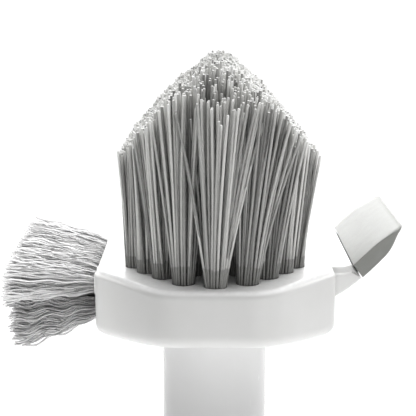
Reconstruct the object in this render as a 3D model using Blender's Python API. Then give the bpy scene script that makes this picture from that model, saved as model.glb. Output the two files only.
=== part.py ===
"""Three-way cleaning brush: a straight round handle carries an octagonal head.

The head's top is tufted with stiff straight filaments trimmed to a ridge along
its length, its left side with soft crimped filaments, and its right side has
an arm that holds an angled scraper blade.

Frame: metres, +Z up along the handle, +X towards the scraper, -Y is the front
end of the head.  The origin is the centre of the flat end of the handle.
"""
import math

import bmesh
import bpy
from mathutils import Matrix, Vector

MM = 0.001
GAP = 0.3                    # clearance between neighbouring pieces

# ---- driving dimensions, millimetres -------------------------------------
TOP_Z = 205.0                # height of the head's top face above the handle's end
HEAD_HALF_WIDTH = 21.65      # long side faces at X = +-
HEAD_HALF_FLAT = 21.5        # the long side faces end at Y = +-
HEAD_HALF_LENGTH = 36.0      # short end faces at Y = +-
HEAD_END_HALF = 9.3          # half width of the short end faces
CORNER_R = 3.4               # vertical corners of the octagon
HEAD_END_THICK = 9.8         # thickness at the short ends
HEAD_MID_THICK = 12.7        # thickness at the middle, the underside is bellied
TOP_EDGE = 1.0               # width of the soft bevel round the top face
TOP_DROP = 0.65
BELLY_FILLET = 2.2

HANDLE_R = 10.3
HANDLE_BORE_R = 8.0
LAND_DEPTH = 13.3            # round seat under the head that the tube butts on
SPIGOT_LENGTH = 29.0
SPIGOT_BORE_R = 5.2

CAP_LENGTH = 22.0
CAP_SPIGOT = 17.0
HANG_HOLE_R = 4.0
HANG_HOLE_Z = 12.0

HOLE_R = 2.0                 # drilled tuft holes of the top
HOLE_DEPTH = 5.2
TUFT_ROOT_R = 1.68
TUFT_TIP_R = 2.1
WEB_HALF = 1.3               # half thickness of the join between tufts of a group
SPREAD_X = 0.0034            # outward lean for each millimetre above the head
SPREAD_Y = 0.0034

RIDGE_H = 36.2               # tallest filaments, along the centre line
TRIM_SLOPE = 1.08
TRIM_ROUND = 3.7
END_DROP = 3.6               # the ridge falls away at both ends

SIDE_HOLE_R = 1.7            # drilled holes of the left side face
SIDE_HOLE_DEPTH = 4.2
SIDE_ROOT_R = 1.4
SIDE_UPPER_Z = -4.0
SIDE_LOWER_Z = -9.05
SIDE_SPAN = 15.5             # first and last tuft of the upper row at Y = +-
SIDE_COUNT = 8
SIDE_TIP_X = -38.4

BLADE_HALF = 15.8            # half length of the scraper along Y


# ---- scene helpers ---------------------------------------------------------
for old in list(bpy.data.objects):
    bpy.data.objects.remove(old, do_unlink=True)

ROOT = bpy.data.objects.new("cleaning_brush", None)
bpy.context.scene.collection.objects.link(ROOT)
HEAD = bpy.data.objects.new("head_frame", None)
bpy.context.scene.collection.objects.link(HEAD)
HEAD.parent = ROOT
HEAD.location = (0.0, 0.0, TOP_Z * MM)


def material(name, colour, roughness, metallic=0.0):
    mat = bpy.data.materials.new(name)
    mat.use_nodes = True
    shader = mat.node_tree.nodes["Principled BSDF"]
    shader.inputs["Base Color"].default_value = (*colour, 1.0)
    shader.inputs["Roughness"].default_value = roughness
    shader.inputs["Metallic"].default_value = metallic
    mat.diffuse_color = (*colour, 1.0)
    return mat


WHITE = material("head_white_plastic", (0.86, 0.87, 0.86), 0.38)
TUBE_WHITE = material("handle_white_plastic", (0.87, 0.88, 0.88), 0.34)
CAP_WHITE = material("cap_white_plastic", (0.84, 0.85, 0.85), 0.40)
NYLON = material("stiff_grey_filament", (0.36, 0.36, 0.34), 0.42)
SOFT = material("crimped_grey_filament", (0.52, 0.52, 0.53), 0.55)
BLADE_GREY = material("scraper_grey_plastic", (0.42, 0.43, 0.40), 0.45)


def make(name, bm, mat=None, parent=ROOT, angle=math.radians(35.0)):
    """Turn a bmesh drawn in millimetres into a placed object."""
    bmesh.ops.recalc_face_normals(bm, faces=bm.faces[:])
    bmesh.ops.scale(bm, vec=(MM, MM, MM), verts=bm.verts[:])
    mesh = bpy.data.meshes.new(name)
    bm.to_mesh(mesh)
    bm.free()
    mesh.shade_smooth()
    mesh.set_sharp_from_angle(angle=angle)
    obj = bpy.data.objects.new(name, mesh)
    bpy.context.scene.collection.objects.link(obj)
    obj.parent = parent
    if mat is not None:
        obj.data.materials.append(mat)
    return obj


def as_cutter(obj):
    obj.hide_render = True
    obj.display_type = "WIRE"
    return obj


def boolean(target, other, operation):
    mod = target.modifiers.new(operation.lower() + "_" + other.name, "BOOLEAN")
    mod.operation = operation
    mod.solver = "EXACT"
    mod.object = other
    return mod


def loft(bm, rings, close=True):
    """Skin a list of rings of points; the first and last ring get caps."""
    loops = [[bm.verts.new(p) for p in ring] for ring in rings]
    count = len(loops[0])
    for low, high in zip(loops, loops[1:]):
        for i in range(count):
            j = (i + 1) % count
            bm.faces.new((low[i], low[j], high[j], high[i]))
    if close:
        bm.faces.new(list(reversed(loops[0])))
        bm.faces.new(loops[-1])
    return loops


def circle(radius, count, z=0.0, centre=(0.0, 0.0), phase=0.0):
    return [(centre[0] + radius * math.cos(phase + 2 * math.pi * i / count),
             centre[1] + radius * math.sin(phase + 2 * math.pi * i / count), z)
            for i in range(count)]


def turned(bm, profile, count):
    """A turned solid about Z from (radius, z) pairs, closed at both ends."""
    return loft(bm, [circle(r, count, z) for r, z in profile])


def tube(bm, outer, inner, z0, z1, count, edge=0.4):
    """A tube open at both ends, with its end edges broken."""
    profile = [(inner, z0), (outer - edge, z0), (outer, z0 + edge),
               (outer, z1 - edge), (outer - edge, z1), (inner, z1)]
    loops = [[bm.verts.new(p) for p in circle(r, count, z)] for r, z in profile]
    for k in range(len(loops)):
        low, high = loops[k], loops[(k + 1) % len(loops)]
        for i in range(count):
            j = (i + 1) % count
            bm.faces.new((low[i], low[j], high[j], high[i]))


def prism(bm, matrix, radius, low, high, count=8):
    """A straight prism along the matrix's Z axis."""
    phase = math.pi / count
    rings = []
    for z in (low, high):
        rings.append([tuple(matrix @ Vector(p))
                      for p in circle(radius, count, z, phase=phase)])
    loft(bm, rings)


# ---- head outline -----------------------------------------------------------
def belly(y):
    """Height of the underside at Y, below the top face."""
    rise = (HEAD_MID_THICK - HEAD_END_THICK) * abs(y / HEAD_HALF_LENGTH) ** 3
    return -HEAD_MID_THICK + rise


def right_half(inset, steps=3):
    """Right half of the rounded octagon, front to back, moved in by inset."""
    corners = [(HEAD_END_HALF, -HEAD_HALF_LENGTH), (HEAD_HALF_WIDTH, -HEAD_HALF_FLAT),
               (HEAD_HALF_WIDTH, HEAD_HALF_FLAT), (HEAD_END_HALF, HEAD_HALF_LENGTH)]
    before = [(-HEAD_END_HALF, -HEAD_HALF_LENGTH)] + corners[:-1]
    after = corners[1:] + [(-HEAD_END_HALF, HEAD_HALF_LENGTH)]
    points = []
    for number, (prev, here, nxt) in enumerate(zip(before, corners, after)):
        a = (Vector(here) - Vector(prev)).normalized()
        b = (Vector(nxt) - Vector(here)).normalized()
        turn = math.acos(max(-1.0, min(1.0, a.dot(b))))
        back = CORNER_R * math.tan(turn / 2)
        inward = Vector((-a.y, a.x))
        centre = Vector(here) - a * back + inward * CORNER_R
        start = math.atan2(-inward.y, -inward.x)
        for i in range(steps + 1):
            ang = start + turn * i / steps
            points.append((centre.x + (CORNER_R - inset) * math.cos(ang),
                           centre.y + (CORNER_R - inset) * math.sin(ang)))
        if number == 1:
            for y in (-12.0, -4.0, 4.0, 12.0):
                points.append((HEAD_HALF_WIDTH - inset, y))
    return points


def head_ring(inset, height):
    """Full outline; height is a number, or a function of Y."""
    half = right_half(inset)
    pts = half + [(-x, y) for x, y in reversed(half)]
    level = height if callable(height) else (lambda y: height)
    return [(x, y, level(y)) for x, y in pts]


def head_body():
    bm = bmesh.new()
    rings = [head_ring(BELLY_FILLET, belly),
             head_ring(0.55, lambda y: belly(y) + 0.55),
             head_ring(0.0, lambda y: belly(y) + BELLY_FILLET),
             head_ring(0.0, -TOP_DROP),
             head_ring(0.28, -0.24),
             head_ring(TOP_EDGE, 0.0)]
    loops = loft(bm, rings, close=False)
    bm.faces.new(loops[-1])
    under = loops[0]
    half = len(under) // 2
    for i in range(half - 1):
        j = len(under) - 1 - i
        bm.faces.new((under[i], under[i + 1], under[j - 1], under[j]))
    return make("head_block", bm, WHITE, HEAD)


# ---- tuft pattern -----------------------------------------------------------
def end_tufts():
    """Tufts that follow the head's end, one quadrant, (x, y)."""
    return {"inner": (5.5, 29.8), "middle": (9.1, 25.7), "outer": (12.0, 21.9)}


def tuft_columns():
    """Hole centres of the seven lengthwise columns of the top."""
    pitch = 36.0 / 7.0
    ends = end_tufts()
    centre = [(0.0, k * pitch) for k in range(-3, 4)]
    for y in (20.9, 26.3, 31.7):
        centre += [(0.0, y), (0.0, -y)]
    inner = [(4.8, (k + 0.5) * pitch) for k in range(-3, 3)]
    for x, y in ((4.0, 17.9), (4.3, 23.7), ends["inner"]):
        inner += [(x, y), (x, -y)]
    middle = [(9.6, k * pitch) for k in range(-3, 4)]
    for x, y in ((7.7, 20.5), ends["middle"]):
        middle += [(x, y), (x, -y)]
    outer = [(14.3, (k + 0.5) * pitch) for k in range(-4, 4)]
    for x, y in (ends["outer"],):
        outer += [(x, y), (x, -y)]
    columns = {"ridge_tufts": centre}
    for name, pts in (("inner", inner), ("middle", middle), ("outer", outer)):
        columns["right_" + name + "_tufts"] = pts
        columns["left_" + name + "_tufts"] = [(-x, y) for x, y in pts]
    return {k: sorted(v, key=lambda p: p[1]) for k, v in columns.items()}


def trim(x, y):
    """Height of the cut filament ends above the head at (x, y)."""
    h = RIDGE_H - TRIM_SLOPE * (math.sqrt(x * x + TRIM_ROUND ** 2) - TRIM_ROUND)
    end = max(0.0, (abs(y) - 22.0) / 11.0) ** 1.4
    return h - END_DROP * end * max(0.0, 1.0 - abs(x) / 8.0)


def tuft(bm, x, y, sides=8):
    """One tuft: round in its hole, widening and leaning out to its trimmed end."""
    phase = math.pi / sides
    cx, cy = tip_centre(x, y)
    rings = [circle(TUFT_ROOT_R, sides, -HOLE_DEPTH + GAP, (x, y), phase),
             circle(TUFT_ROOT_R, sides, 0.4, (x, y), phase),
             [(px, py, trim(px, py))
              for px, py, _ in circle(TUFT_TIP_R, sides, 0.0, (cx, cy), phase)]]
    loops = loft(bm, rings, close=False)
    bm.faces.new(list(reversed(loops[0])))
    peak = bm.verts.new((cx, cy, trim(cx, cy) + 0.15))
    for i in range(sides):
        bm.faces.new((loops[-1][i], loops[-1][(i + 1) % sides], peak))


def tip_centre(x, y):
    h = trim(x, y)
    return x * (1 + SPREAD_X * h), y * (1 + SPREAD_Y * h)


def web(bm, pts):
    """The filaments that neighbouring tufts of a group share above mid height."""
    rings = []
    for i, (x, y) in enumerate(pts):
        (ax, ay), (bx, by) = pts[max(0, i - 1)], pts[min(len(pts) - 1, i + 1)]
        along = Vector((bx - ax, by - ay)).normalized()
        side = Vector((along.y, -along.x)) * WEB_HALF
        h = trim(x, y)
        ring = []
        for share, sign in ((0.42, -1), (0.42, 1), (1.0, 1), (1.0, -1)):
            level = h * share - (1.2 if share == 1.0 else 0.0)
            cx, cy = x * (1 + SPREAD_X * level), y * (1 + SPREAD_Y * level)
            px, py = cx + side.x * sign, cy + side.y * sign
            ring.append((px, py, min(level, trim(px, py) - 1.2)))
        rings.append(ring)
    loft(bm, rings)


def groups(pts, sizes):
    """Cut a column into lengthwise groups: front, middle and rear."""
    start, out = 0, []
    for size in sizes:
        out.append(pts[start:start + size])
        start += size
    return out


def top_groups():
    sizes = {"ridge": (4, 5, 4), "inner": (4, 4, 4), "middle": (4, 3, 4), "outer": (3, 4, 3)}
    found = {}
    for name, pts in tuft_columns().items():
        cut = next(v for k, v in sizes.items() if k in name)
        for where, group in zip(("front", "mid", "rear"), groups(pts, cut)):
            found[name + "_" + where] = group
    return found


def side_rows():
    step = 2 * SIDE_SPAN / (SIDE_COUNT - 1)
    upper = [(-SIDE_SPAN + i * step, SIDE_UPPER_Z) for i in range(SIDE_COUNT)]
    lower = [(-SIDE_SPAN + (i + 0.5) * step, SIDE_LOWER_Z)
             for i in range(SIDE_COUNT - 1)]
    return {"side_upper_tufts_front": upper[:4], "side_upper_tufts_rear": upper[4:],
            "side_lower_tufts_front": lower[:4], "side_lower_tufts_rear": lower[4:]}


def side_tuft(bm, y, z, push, sides=8):
    """A crimped tuft pointing along -X that fans out towards its tip.

    push moves the tip along Y, away from the neighbouring group.
    """
    tip_y = y * 1.10 + push
    tip_z = -3.2 if z == SIDE_UPPER_Z else -12.6
    root_x = -HEAD_HALF_WIDTH + SIDE_HOLE_DEPTH - GAP
    stations = [(root_x, y, z, SIDE_ROOT_R, SIDE_ROOT_R),
                (-HEAD_HALF_WIDTH - 0.3, y, z, SIDE_ROOT_R, SIDE_ROOT_R),
                (-28.5, y + 0.48 * (tip_y - y), z + 0.42 * (tip_z - z), 1.95, 2.5),
                (SIDE_TIP_X, tip_y, tip_z, 2.9, 3.55)]
    rings = []
    for x, cy, cz, ry, rz in stations:
        rings.append([(x, cy + ry * math.cos(math.pi / sides + 2 * math.pi * i / sides),
                       cz + rz * math.sin(math.pi / sides + 2 * math.pi * i / sides))
                      for i in range(sides)])
    loft(bm, rings)


# ---- scraper ----------------------------------------------------------------
ARM_TOP = [(19.2, -1.02), (22.9, -1.02), (24.1, -0.95), (25.25, -0.62)]
ARM_UNDER = [(27.0, -3.0), (25.7, -4.15), (24.3, -5.25), (22.3, -6.5), (19.2, -8.1)]


def extrude_y(bm, profile, ys):
    """Loft an XZ profile along Y; ys is a list of (y, inset) stations."""
    cx = sum(p[0] for p in profile) / len(profile)
    cz = sum(p[1] for p in profile) / len(profile)
    size = max(abs(p[0] - cx) + abs(p[1] - cz) for p in profile)
    rings = []
    for y, inset in ys:
        k = 1.0 - inset / size
        rings.append([(cx + (x - cx) * k, y, cz + (z - cz) * k) for x, z in profile])
    loft(bm, rings)


def root_frame():
    """Centre and outward direction of the arm's end face in XZ."""
    a, b = Vector(ARM_TOP[-1]), Vector(ARM_UNDER[0])
    mid = (a + b) / 2
    along = (b - a).normalized()
    out = Vector((-along.y, along.x))
    if out.x < 0:
        out = -out
    return mid, along, out, (b - a).length


def holder_arm():
    bm = bmesh.new()
    extrude_y(bm, ARM_TOP + ARM_UNDER,
              [(-BLADE_HALF, 0.75), (-BLADE_HALF + 0.25, 0.25), (-BLADE_HALF + 0.9, 0.0),
               (BLADE_HALF - 0.9, 0.0), (BLADE_HALF - 0.25, 0.25), (BLADE_HALF, 0.75)])
    return as_cutter(make("holder_arm_union", bm, None, HEAD))


def slot_cutter():
    mid, along, out, _ = root_frame()
    bm = bmesh.new()
    half = 0.65 + GAP
    deep, proud = 3.2 + GAP, 1.0
    profile = []
    for s, t in ((-half, -deep), (half, -deep), (half, proud), (-half, proud)):
        p = mid + along * s + out * t
        profile.append((p.x, p.y))
    extrude_y(bm, profile, [(-13.6 - GAP, 0.0), (13.6 + GAP, 0.0)])
    return as_cutter(make("blade_slot_cutter", bm, None, HEAD))


def blade_profile(pull):
    """XZ section of the blade; pull shortens it from the tip, to round its corners."""
    mid, along, out, _ = root_frame()
    a = Vector(ARM_TOP[-1]) + out * GAP
    b = Vector(ARM_UNDER[0]) + out * GAP
    inner = [a, Vector((27.5, 1.48)), Vector((29.8, 3.66)), Vector((32.4, 5.68))]
    tip = [Vector((34.05, 6.86)), Vector((34.32, 6.62))]
    outer = [Vector((33.6, 5.15)), Vector((32.65, 3.12)), Vector((31.35, 1.28)),
             Vector((29.0, -1.17)), b]
    pts = inner + tip + outer
    length = (tip[0] - mid).length
    axis = (tip[0] - mid).normalized()
    reach = length - pull
    moved = []
    for p in pts:
        s = (p - mid).dot(axis)
        if s > reach - 1.2 and pull > 0:
            over = (s - (reach - 1.2)) / (length - (reach - 1.2))
            p = p - axis * (s - (reach - 1.2) - 1.2 * over)
        moved.append((p.x, p.y))
    return moved


def scraper():
    bm = bmesh.new()
    rings = []
    for y, pull in ((-BLADE_HALF, 1.3), (-BLADE_HALF + 0.3, 0.5), (-BLADE_HALF + 0.8, 0.12),
                    (-BLADE_HALF + 1.4, 0.0), (BLADE_HALF - 3.2, 0.0), (BLADE_HALF - 2.0, 0.25),
                    (BLADE_HALF - 1.0, 0.95), (BLADE_HALF - 0.35, 1.9), (BLADE_HALF, 2.9)):
        rings.append([(x, y, z) for x, z in blade_profile(pull)])
    loft(bm, rings)
    blade = make("scraper_blade", bm, BLADE_GREY, HEAD)
    mid, along, out, _ = root_frame()
    bm = bmesh.new()
    profile = []
    for s, t in ((-0.65, -3.2), (0.65, -3.2), (0.65, GAP + 0.6), (-0.65, GAP + 0.6)):
        p = mid + along * s + out * t
        profile.append((p.x, p.y))
    extrude_y(bm, profile, [(-13.6, 0.0), (13.6, 0.0)])
    tongue = as_cutter(make("blade_tongue_union", bm, None, HEAD))
    boolean(blade, tongue, "UNION")
    return blade


# ---- build: head ------------------------------------------------------------
head = head_body()
boolean(head, holder_arm(), "UNION")

bm = bmesh.new()
turned(bm, [(HANDLE_R - 0.3, -LAND_DEPTH), (HANDLE_R, -LAND_DEPTH + 0.3), (HANDLE_R, -9.4)], 48)
boolean(head, as_cutter(make("round_seat_union", bm, None, HEAD)), "UNION")

bm = bmesh.new()
end = -LAND_DEPTH - SPIGOT_LENGTH
turned(bm, [(HANDLE_BORE_R - GAP - 0.9, end), (HANDLE_BORE_R - GAP, end + 1.2),
            (HANDLE_BORE_R - GAP, -10.2)], 32)
boolean(head, as_cutter(make("head_spigot_union", bm, None, HEAD)), "UNION")

bm = bmesh.new()
turned(bm, [(SPIGOT_BORE_R, end - 2.0), (SPIGOT_BORE_R, -16.2), (SPIGOT_BORE_R - 1.6, -15.2)], 24)
boolean(head, as_cutter(make("spigot_core_cutter", bm, None, HEAD)), "DIFFERENCE")
boolean(head, slot_cutter(), "DIFFERENCE")

bm = bmesh.new()
for pts in tuft_columns().values():
    for x, y in pts:
        prism(bm, Matrix.Translation((x, y, 0.0)), HOLE_R, -HOLE_DEPTH, 1.5)
boolean(head, as_cutter(make("top_hole_cutter", bm, None, HEAD)), "DIFFERENCE")

bm = bmesh.new()
for pts in side_rows().values():
    for y, z in pts:
        turn = Matrix.Translation((-HEAD_HALF_WIDTH, y, z)) @ Matrix.Rotation(-math.pi / 2, 4, "Y")
        prism(bm, turn, SIDE_HOLE_R, -SIDE_HOLE_DEPTH, 1.5)
boolean(head, as_cutter(make("side_hole_cutter", bm, None, HEAD)), "DIFFERENCE")

# ---- build: tufts -----------------------------------------------------------
for name, pts in top_groups().items():
    bm = bmesh.new()
    web(bm, pts)
    clump = make(name, bm, NYLON, HEAD)
    bm = bmesh.new()
    for x, y in pts:
        tuft(bm, x, y)
    boolean(clump, as_cutter(make(name + "_union", bm, None, HEAD)), "UNION")

for name, pts in side_rows().items():
    halves = []
    for part in (pts[0::2], pts[1::2]):
        bm = bmesh.new()
        for y, z in part:
            side_tuft(bm, y, z, -0.45 if "front" in name else 0.45)
        halves.append(bm)
    row = make(name, halves[0], SOFT, HEAD)
    boolean(row, as_cutter(make(name + "_union", halves[1], None, HEAD)), "UNION")

# ---- build: scraper ---------------------------------------------------------
scraper()

# ---- build: handle ----------------------------------------------------------
bm = bmesh.new()
tube(bm, HANDLE_R, HANDLE_BORE_R, CAP_LENGTH + GAP, TOP_Z - LAND_DEPTH - GAP, 48)
make("handle_tube", bm, TUBE_WHITE, ROOT)

bm = bmesh.new()
turned(bm, [(HANDLE_R - 0.9, 0.0), (HANDLE_R - 0.25, 0.3), (HANDLE_R, 1.0),
            (HANDLE_R, CAP_LENGTH - 0.3), (HANDLE_R - 0.3, CAP_LENGTH)], 48)
cap = make("handle_end_cap", bm, CAP_WHITE, ROOT)
bm = bmesh.new()
turned(bm, [(HANDLE_BORE_R - GAP, CAP_LENGTH - 1.0), (HANDLE_BORE_R - GAP, CAP_LENGTH + CAP_SPIGOT - 1.0),
            (HANDLE_BORE_R - GAP - 0.8, CAP_LENGTH + CAP_SPIGOT)], 32)
boolean(cap, as_cutter(make("cap_spigot_union", bm, None, ROOT)), "UNION")
bm = bmesh.new()
turned(bm, [(SPIGOT_BORE_R - 1.4, CAP_LENGTH + 0.4), (SPIGOT_BORE_R, CAP_LENGTH + 1.6),
            (SPIGOT_BORE_R, CAP_LENGTH + CAP_SPIGOT + 1.0)], 24)
boolean(cap, as_cutter(make("cap_core_cutter", bm, None, ROOT)), "DIFFERENCE")
bm = bmesh.new()
cross = Matrix.Translation((0.0, 0.0, HANG_HOLE_Z)) @ Matrix.Rotation(math.pi / 2, 4, "X")
prism(bm, cross, HANG_HOLE_R, -12.0, 12.0, 24)
boolean(cap, as_cutter(make("hanging_hole_cutter", bm, None, ROOT)), "DIFFERENCE")
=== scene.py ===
import math

import bmesh
import bpy
import numpy as np
from mathutils import Matrix, Vector

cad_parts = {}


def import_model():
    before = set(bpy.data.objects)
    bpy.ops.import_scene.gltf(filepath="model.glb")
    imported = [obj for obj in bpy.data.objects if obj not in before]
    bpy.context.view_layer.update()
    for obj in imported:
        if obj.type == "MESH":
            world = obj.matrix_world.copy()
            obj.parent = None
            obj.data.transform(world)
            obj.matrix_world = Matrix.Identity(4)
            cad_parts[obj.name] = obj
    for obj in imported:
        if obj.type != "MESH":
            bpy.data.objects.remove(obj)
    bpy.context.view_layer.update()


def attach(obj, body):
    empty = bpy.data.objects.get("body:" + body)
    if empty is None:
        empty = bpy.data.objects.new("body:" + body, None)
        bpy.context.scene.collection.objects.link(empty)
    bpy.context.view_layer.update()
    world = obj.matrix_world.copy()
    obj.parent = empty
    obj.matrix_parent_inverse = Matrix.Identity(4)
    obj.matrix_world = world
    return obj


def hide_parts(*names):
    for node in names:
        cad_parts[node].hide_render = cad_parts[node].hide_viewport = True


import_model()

MM = 0.001
GAP = 0.3
TOP_Z = 205.0

HALF_WIDTH = 21.65
HALF_FLAT = 21.5
HALF_LENGTH = 36.0
END_HALF = 9.3
CORNER_R = 3.4
END_CORNER_R = 8.5
END_THICK = 9.8
MID_THICK = 12.7
BELLY_FILLET = 2.2

HANDLE_R = 10.3
BORE_R = 8.0
LAND_DEPTH = 13.3
SPIGOT_LENGTH = 29.0
SPIGOT_BORE_R = 5.2
CAP_LENGTH = 22.0
CAP_SPIGOT = 17.0
HANG_R = 4.0
HANG_Z = 12.0

HOLE_R = 2.0
HOLE_DEPTH = 5.2
FILAMENT_R = 0.235
SPREAD_X = 0.0034
SPREAD_Y = 0.0034
RIDGE_H = 36.2
TRIM_SLOPE = 1.08
TRIM_ROUND = 3.7
END_DROP = 3.6

SIDE_HOLE_R = 1.7
SIDE_HOLE_DEPTH = 4.2
SIDE_UPPER_Z = -4.0
SIDE_LOWER_Z = -9.05
SIDE_SPAN = 15.5
SIDE_COUNT = 8
SIDE_TIP_X = -38.4
SOFT_R = 0.140

BLADE_HALF = 15.8


# ---- materials ---------------------------------------------------------------
class Nodes:
    """A material's node tree with short ways to add and link nodes."""

    def __init__(self, name):
        self.mat = bpy.data.materials.new(name)
        self.mat.use_nodes = True
        self.tree = self.mat.node_tree
        self.shader = self.tree.nodes["Principled BSDF"]
        coords = self.add("ShaderNodeTexCoord")
        scaled = self.add("ShaderNodeVectorMath", operation="SCALE")
        scaled.inputs["Scale"].default_value = 1000.0
        self.link(coords.outputs["Object"], scaled.inputs[0])
        self.mm = scaled.outputs["Vector"]

    def add(self, kind, **settings):
        node = self.tree.nodes.new(kind)
        for key, value in settings.items():
            setattr(node, key, value)
        return node

    def link(self, out, into):
        self.tree.links.new(out, into)

    def stretch(self, factors):
        node = self.add("ShaderNodeVectorMath", operation="MULTIPLY")
        self.link(self.mm, node.inputs[0])
        node.inputs[1].default_value = factors
        return node.outputs["Vector"]

    def noise(self, scale, detail=2.0, roughness=0.5, vector=None, distortion=0.0):
        node = self.add("ShaderNodeTexNoise")
        node.inputs["Scale"].default_value = scale
        node.inputs["Detail"].default_value = detail
        node.inputs["Roughness"].default_value = roughness
        node.inputs["Distortion"].default_value = distortion
        self.link(vector if vector is not None else self.mm, node.inputs["Vector"])
        return node.outputs["Fac"]

    def ramp(self, value, low, high, out_low=0.0, out_high=1.0, smooth=True):
        node = self.add("ShaderNodeMapRange")
        node.interpolation_type = "SMOOTHSTEP" if smooth else "LINEAR"
        for key, number in (("From Min", low), ("From Max", high),
                            ("To Min", out_low), ("To Max", out_high)):
            node.inputs[key].default_value = number
        self.link(value, node.inputs["Value"])
        return node.outputs["Result"]

    def math(self, operation, a, b=None, clamp=False):
        node = self.add("ShaderNodeMath", operation=operation)
        node.use_clamp = clamp
        for slot, item in ((0, a), (1, b)):
            if item is None:
                continue
            if isinstance(item, (int, float)):
                node.inputs[slot].default_value = item
            else:
                self.link(item, node.inputs[slot])
        return node.outputs["Value"]

    def mix(self, factor, a, b):
        node = self.add("ShaderNodeMix", data_type="RGBA")
        if isinstance(factor, (int, float)):
            node.inputs["Factor"].default_value = factor
        else:
            self.link(factor, node.inputs["Factor"])
        for key, item in (("A", a), ("B", b)):
            socket = [s for s in node.inputs if s.name == key and s.type == "RGBA"][0]
            if isinstance(item, tuple):
                socket.default_value = (*item, 1.0)
            else:
                self.link(item, socket)
        return [s for s in node.outputs if s.type == "RGBA"][0]

    def scale_colour(self, colour, factor):
        node = self.add("ShaderNodeVectorMath", operation="SCALE")
        self.link(colour, node.inputs[0])
        self.link(factor, node.inputs["Scale"])
        return node.outputs["Vector"]

    def axis(self, which):
        node = self.add("ShaderNodeSeparateXYZ")
        self.link(self.mm, node.inputs["Vector"])
        return node.outputs[which]

    def attribute(self, name):
        node = self.add("ShaderNodeAttribute")
        node.attribute_name = name
        return node.outputs["Fac"]

    def bump(self, height, strength, distance_mm, before=None):
        node = self.add("ShaderNodeBump")
        node.inputs["Strength"].default_value = strength
        node.inputs["Distance"].default_value = distance_mm * MM
        self.link(height, node.inputs["Height"])
        if before is not None:
            self.link(before, node.inputs["Normal"])
        return node.outputs["Normal"]

    def finish(self, colour, roughness, normal, ior=1.5):
        self.link(colour, self.shader.inputs["Base Color"])
        self.link(roughness, self.shader.inputs["Roughness"])
        if normal is not None:
            self.link(normal, self.shader.inputs["Normal"])
        self.shader.inputs["IOR"].default_value = ior
        return self.mat


def moulded_plastic(name, light, dark, rough, worn_from=None, painted_light=None):
    """Injection-moulded white plastic: faint spark-eroded grain, soft sink
    undulation, small scuffs, a little wear where worn_from says (z in mm above
    the handle's end, low and high), and painted light from the last argument:
    a whiter top face from its first height upwards, a whiter arm, and sides a
    touch lighter towards the bottom."""
    n = Nodes(name)
    cloud = n.noise(0.09, 3.0, 0.55)
    fine = n.noise(1.3, 3.0, 0.6)
    grain = n.noise(7.0, 2.0, 0.5)
    colour = n.mix(n.ramp(cloud, 0.35, 0.68), dark, light)
    if painted_light is not None:
        # Painted light: sides a touch lighter towards the bottom, a whiter top face and a whiter arm, standing in
        # for how the light falls on them.
        colour = n.scale_colour(colour, n.ramp(n.axis("Z"), painted_light[0] - 12.0, painted_light[0] - 1.0, 1.06, 0.99))
        colour = n.mix(n.ramp(n.axis("Z"), painted_light[0], painted_light[1]), colour, painted_light[2])
        colour = n.mix(n.ramp(n.axis("X"), 21.8, 23.2, 0.0, 0.45), colour, painted_light[2])
    speck = n.ramp(n.noise(2.1, 1.0, 0.5), 0.73, 0.80)
    colour = n.mix(n.math("MULTIPLY", speck, 0.10), colour, tuple(0.86 * c for c in dark))
    scuff_line = n.noise(1.0, 4.0, 0.7, n.stretch((0.35, 1.9, 1.1)), 0.6)
    scuff = n.math("MULTIPLY", n.ramp(scuff_line, 0.56, 0.62), n.ramp(cloud, 0.5, 0.7))
    rough_value = n.math("ADD", n.ramp(fine, 0.3, 0.7, rough - 0.035, rough + 0.045),
                         n.math("MULTIPLY", scuff, 0.10))
    if worn_from is not None:
        worn = n.ramp(n.axis("Z"), worn_from[0], worn_from[1])
        worn = n.math("MULTIPLY", worn, n.ramp(n.noise(0.7, 4.0, 0.65), 0.42, 0.60))
        colour = n.mix(n.math("MULTIPLY", worn, 0.25), colour, tuple(min(1.0, 1.05 * c) for c in light))
        rough_value = n.math("ADD", rough_value, n.math("MULTIPLY", worn, 0.09))
    normal = n.bump(grain, 0.22, 0.012)
    normal = n.bump(n.noise(0.22, 2.0, 0.5), 0.25, 0.06, normal)
    return n.finish(colour, rough_value, normal)


def drawn_plastic(name, light, dark, rough):
    """Extruded white tube: faint draw lines along Z, smoother than the head."""
    n = Nodes(name)
    lines = n.noise(2.4, 3.0, 0.6, n.stretch((1.0, 1.0, 0.012)))
    cloud = n.noise(0.06, 3.0, 0.5)
    colour = n.mix(n.ramp(cloud, 0.35, 0.68), dark, light)
    colour = n.mix(n.ramp(lines, 0.55, 0.75, 0.0, 0.12), colour, tuple(0.93 * c for c in dark))
    # Painted shade: lightest near the head and the cap, greyer between, the darkening below the head standing in
    # for the light falling off there.
    colour = n.scale_colour(colour, n.ramp(n.axis("Z"), 160.0, 194.0, 0.77, 1.01))
    colour = n.scale_colour(colour, n.ramp(n.axis("Z"), 24.0, 100.0, 1.24, 1.0))
    grip = n.ramp(n.noise(0.35, 4.0, 0.6), 0.4, 0.65)
    rough_value = n.math("ADD", n.ramp(lines, 0.3, 0.7, rough - 0.03, rough + 0.04),
                         n.math("MULTIPLY", grip, 0.05))
    scratch = n.ramp(n.noise(1.2, 4.0, 0.7, n.stretch((1.6, 1.6, 0.22)), 0.8), 0.60, 0.66)
    rough_value = n.math("ADD", rough_value, n.math("MULTIPLY", scratch, 0.06))
    normal = n.bump(lines, 0.25, 0.012)
    normal = n.bump(n.noise(8.0, 2.0, 0.5), 0.12, 0.01, normal)
    return n.finish(colour, rough_value, normal)


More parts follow.
